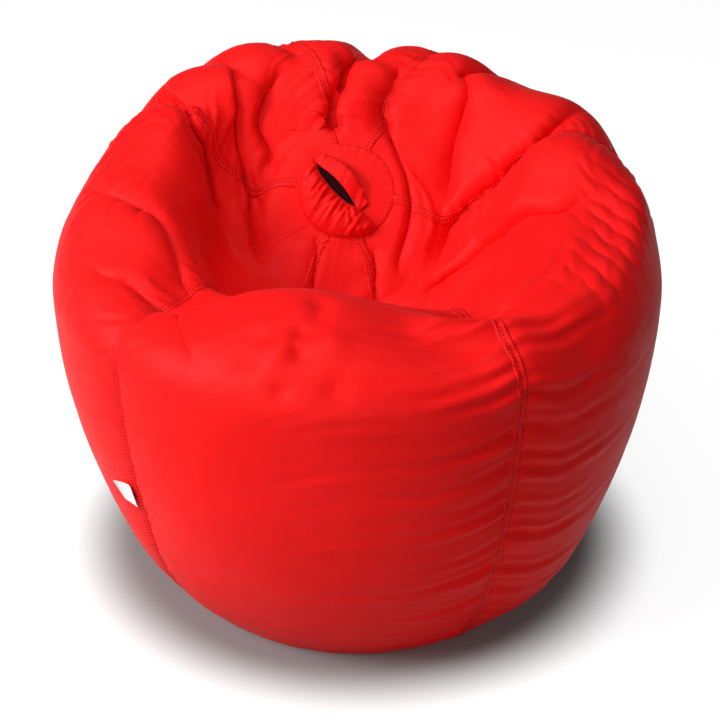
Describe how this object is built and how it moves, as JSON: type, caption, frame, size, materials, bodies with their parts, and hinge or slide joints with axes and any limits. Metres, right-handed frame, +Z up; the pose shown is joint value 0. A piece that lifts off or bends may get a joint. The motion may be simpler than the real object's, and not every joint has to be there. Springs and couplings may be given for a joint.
{
  "type": "bean bag chair",
  "caption": "Red bean bag chair with a pressed-in seat, sewn gores, a capped top with a carrying strap, a blank side label and a zipped base.",
  "frame": {"origin": "on the floor under the middle of the bag", "axes": "+Z up, front of the seat towards -Y, +X to the right as seen from the front"},
  "size_m": [0.814, 0.814, 0.6799],
  "materials": {
    "cover": "coated polyester, soft sheen",
    "zip_cloth": "woven tape with moulded teeth",
    "zip_metal": "nickel plated",
    "label": "woven satin",
    "beads": "expanded polystyrene beads"
  },
  "bodies": {
    "bag": {"gore_front": "cover", "gore_front_right": "cover", "gore_back_right": "cover", "gore_back": "cover", "gore_back_left": "cover", "gore_front_left": "cover", "top_cap": "cover", "handle_strap": "cover", "base_front": "cover", "base_back": "cover", "zip_facing_front": "cover", "zip_facing_back": "cover", "zip_tape_front": "zip_cloth", "zip_tape_back": "zip_cloth", "zip_top_stop": "zip_metal", "zip_bottom_stop": "zip_metal", "bead_fill": "beads"},
    "slider": {"zip_slider": "zip_metal"},
    "pull": {"zip_pull": "zip_metal"},
    "tag": {"seam_tag": "label"}
  },
  "joints": [
    {"name": "zip_slide", "type": "slide", "parent": "bag", "child": "slider", "axis": [1, 0, 0], "range_m": [-0.465, 0], "deforming": ["zip_tape_front", "zip_tape_back"]},
    {"name": "pull_flip", "type": "hinge", "parent": "slider", "child": "pull", "pos_m": [0.2352, 0, 0.00175], "axis": [0, -1, 0], "range_deg": [0, 170]},
    {"name": "tag_flap", "type": "hinge", "parent": "bag", "child": "tag", "pos_m": [-0.29229, -0.24794, 0.24981], "axis": [-0.1886, -0.1494, 0.9706], "range_deg": [0, 100]}
  ]
}
